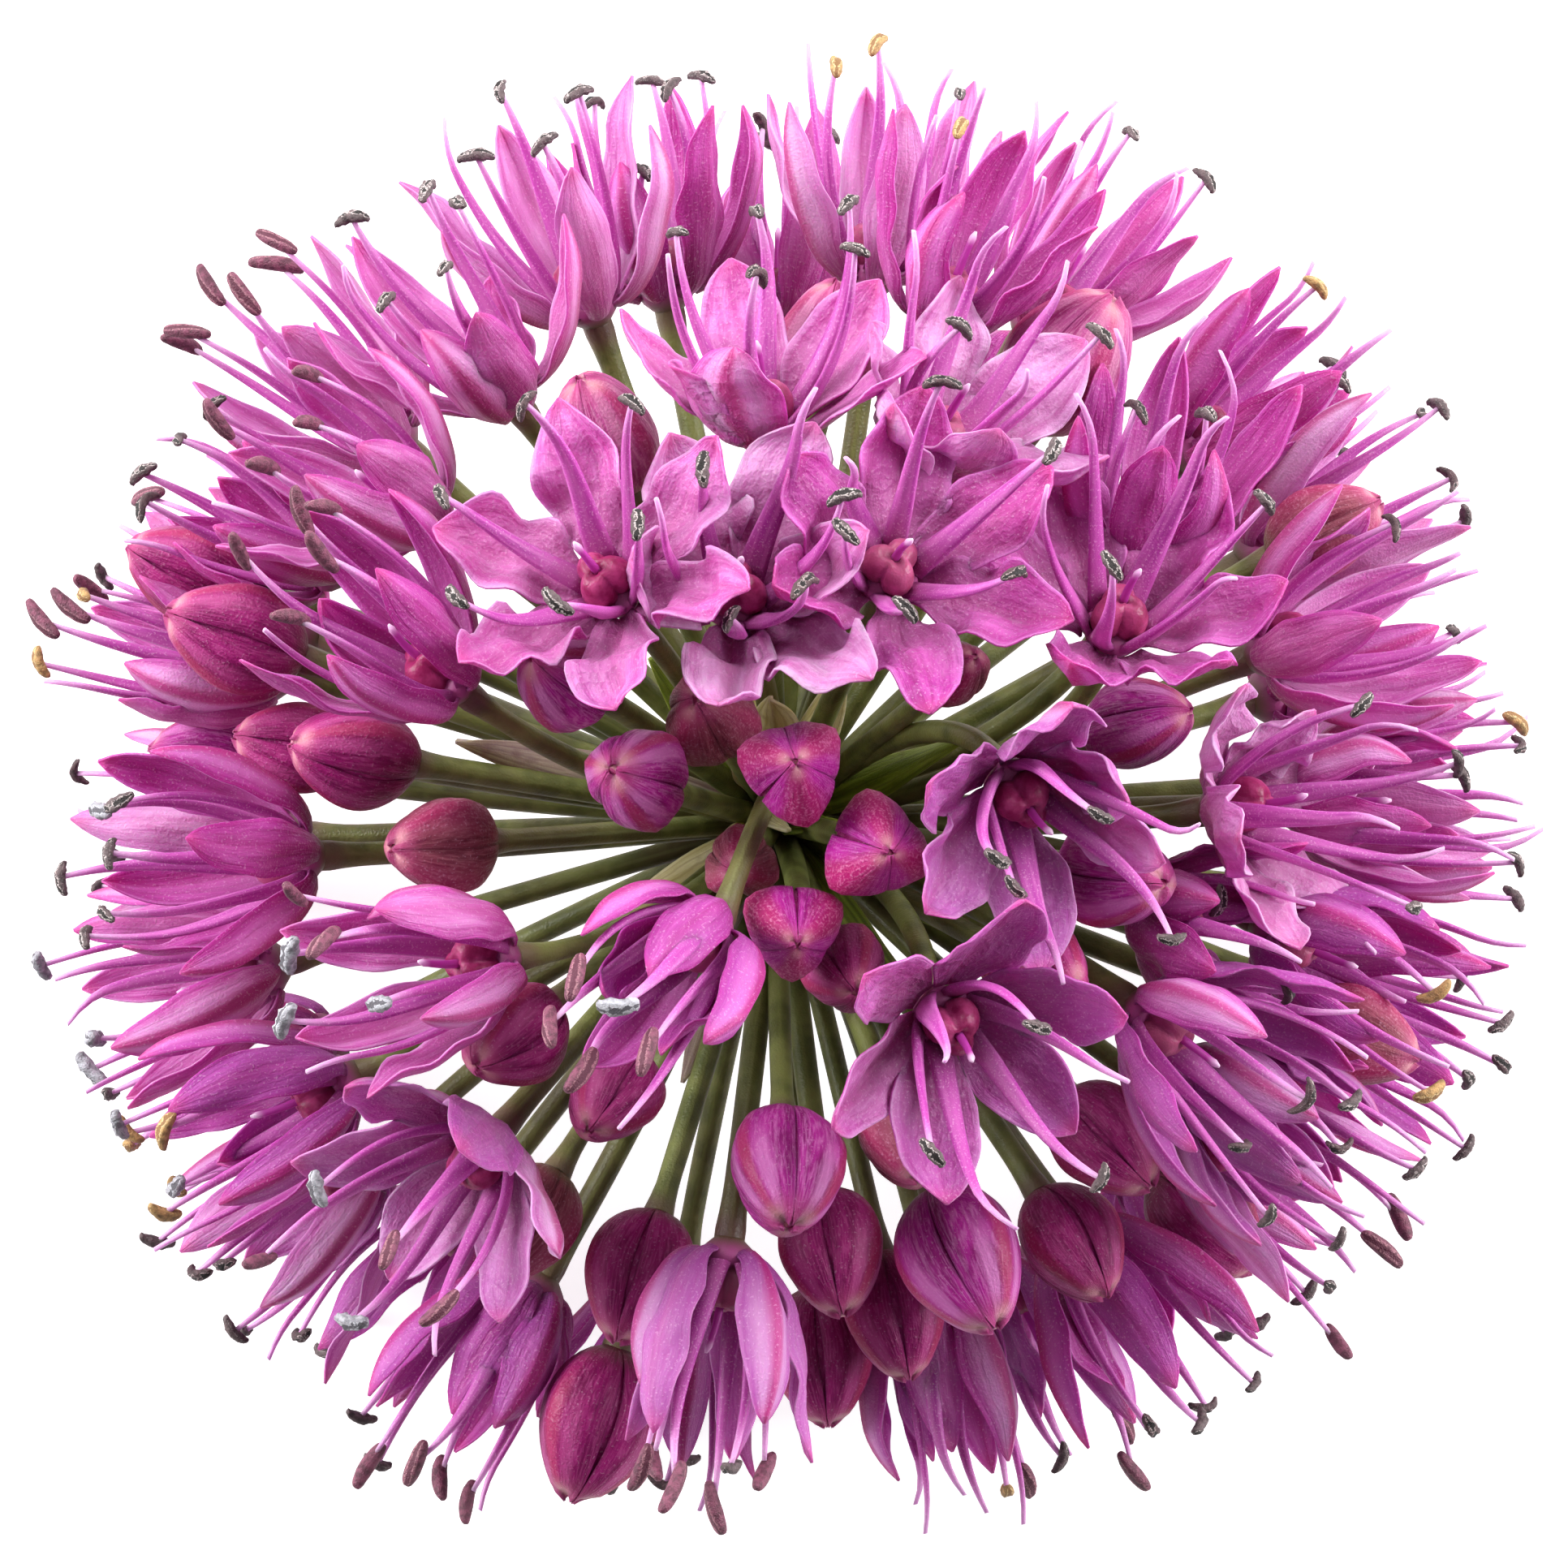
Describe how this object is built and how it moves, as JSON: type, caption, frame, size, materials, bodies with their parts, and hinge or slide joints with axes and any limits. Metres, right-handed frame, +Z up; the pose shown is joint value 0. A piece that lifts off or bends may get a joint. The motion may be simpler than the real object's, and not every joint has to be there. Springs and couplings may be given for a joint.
{
  "type": "allium flower head",
  "caption": "Domed flower head of an ornamental onion: pink star-shaped florets and buds on green stalks that radiate from one short cut stem.",
  "frame": {"origin": "on the surface that the head rests on, under the middle of its box", "axes": "+Z up along the cut stem, out of the top of the dome; +Y towards the top of the picture and +X to its right, seen from above"},
  "size_m": [0.0496, 0.0493, 0.0333],
  "materials": {
    "stalk_green": "satin",
    "tepal_pink": "satin",
    "tepal_lilac": "satin",
    "tepal_magenta": "satin"
  },
  "bodies": {
    "root": {"bloom_01": "tepal_pink", "bloom_02": "tepal_lilac", "bloom_03": "tepal_magenta", "bloom_04": "tepal_pink", "bloom_05": "tepal_lilac", "bloom_06": "tepal_magenta", "bloom_07": "tepal_pink", "bloom_08": "tepal_lilac", "bloom_09": "tepal_magenta", "bloom_10": "tepal_pink", "bloom_11": "tepal_lilac", "bloom_12": "tepal_magenta", "bloom_13": "tepal_pink", "bloom_14": "tepal_lilac", "bloom_15": "tepal_magenta", "bloom_16": "tepal_pink", "bloom_17": "tepal_lilac", "bloom_18": "tepal_magenta", "bloom_19": "tepal_pink", "bloom_20": "tepal_lilac", "bloom_21": "tepal_magenta", "bloom_22": "tepal_pink", "bloom_23": "tepal_lilac", "bloom_24": "tepal_magenta", "bloom_25": "tepal_pink", "bloom_26": "tepal_lilac", "bloom_27": "tepal_magenta", "bloom_28": "tepal_pink", "bloom_29": "tepal_lilac", "bloom_30": "tepal_magenta", "bloom_31": "tepal_pink", "bloom_32": "tepal_lilac", "bloom_33": "tepal_magenta", "bloom_34": "tepal_pink", "bloom_35": "tepal_lilac", "bloom_36": "tepal_magenta", "bloom_37": "tepal_pink", "bloom_38": "tepal_lilac", "bloom_39": "tepal_magenta", "bloom_40": "tepal_pink", "bloom_41": "tepal_lilac", "bloom_42": "tepal_magenta", "bloom_43": "tepal_pink", "bloom_44": "tepal_lilac", "bloom_45": "tepal_magenta", "bloom_46": "tepal_pink", "bloom_47": "tepal_lilac", "bloom_48": "tepal_magenta", "bloom_49": "tepal_pink", "bloom_50": "tepal_lilac", "bloom_51": "tepal_magenta", "bloom_52": "tepal_pink", "bloom_53": "tepal_lilac", "bloom_54": "tepal_magenta", "stalks_and_buds": "stalk_green"}
  },
  "joints": []
}
